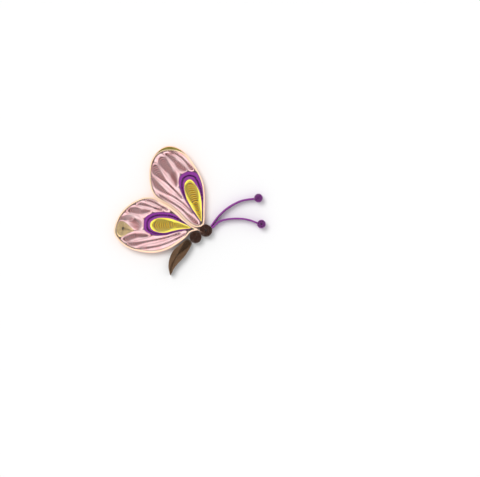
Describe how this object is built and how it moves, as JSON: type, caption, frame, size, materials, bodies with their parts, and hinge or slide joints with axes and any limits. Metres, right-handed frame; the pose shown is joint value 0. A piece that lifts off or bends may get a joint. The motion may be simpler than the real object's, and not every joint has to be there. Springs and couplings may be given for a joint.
{
  "type": "quilled paper butterfly",
  "caption": "Quilled paper butterfly: rolled, pinched and glued paper strips on edge form the wings, body and antennae.",
  "frame": {"origin": "middle of the thorax roll on the plane of the glued back edges of the strips", "axes": "+Z out of the glued back towards the viewer, +X towards the antennae, +Y along the forewing"},
  "size_m": [0.0626, 0.0531, 0.003],
  "materials": {
    "peach_paper": "matte",
    "cream_paper": "matte",
    "olive_paper": "matte",
    "pink_paper": "matte",
    "purple_paper": "matte",
    "yellow_paper": "matte",
    "khaki_paper": "matte",
    "dark_brown_paper": "matte",
    "brown_paper": "matte",
    "plum_paper": "matte"
  },
  "bodies": {
    "root": {"abdomen_coil": "brown_paper", "forewing_coil_1": "pink_paper", "forewing_coil_2": "pink_paper", "forewing_coil_3": "pink_paper", "forewing_coil_4": "pink_paper", "forewing_coil_5": "pink_paper", "forewing_coil_6": "pink_paper", "forewing_crest_coil": "olive_paper", "forewing_eyespot_coil": "yellow_paper", "forewing_eyespot_husk": "purple_paper", "forewing_eyespot_inner_husk": "purple_paper", "forewing_inner_rim": "cream_paper", "forewing_rim": "peach_paper", "head_roll": "dark_brown_paper", "hindwing_coil_1": "pink_paper", "hindwing_coil_2": "pink_paper", "hindwing_coil_3": "pink_paper", "hindwing_coil_4": "pink_paper", "hindwing_coil_5": "pink_paper", "hindwing_coil_6": "pink_paper", "hindwing_curl_coil": "pink_paper", "hindwing_eyespot_coil": "yellow_paper", "hindwing_eyespot_husk": "purple_paper", "hindwing_eyespot_inner_husk": "purple_paper", "hindwing_inner_rim": "cream_paper", "hindwing_rim": "peach_paper", "hindwing_tip_coil": "khaki_paper", "lower_antenna_roll": "plum_paper", "lower_antenna_stem": "plum_paper", "thorax_roll": "dark_brown_paper", "upper_antenna_roll": "plum_paper", "upper_antenna_stem": "plum_paper"}
  },
  "joints": []
}
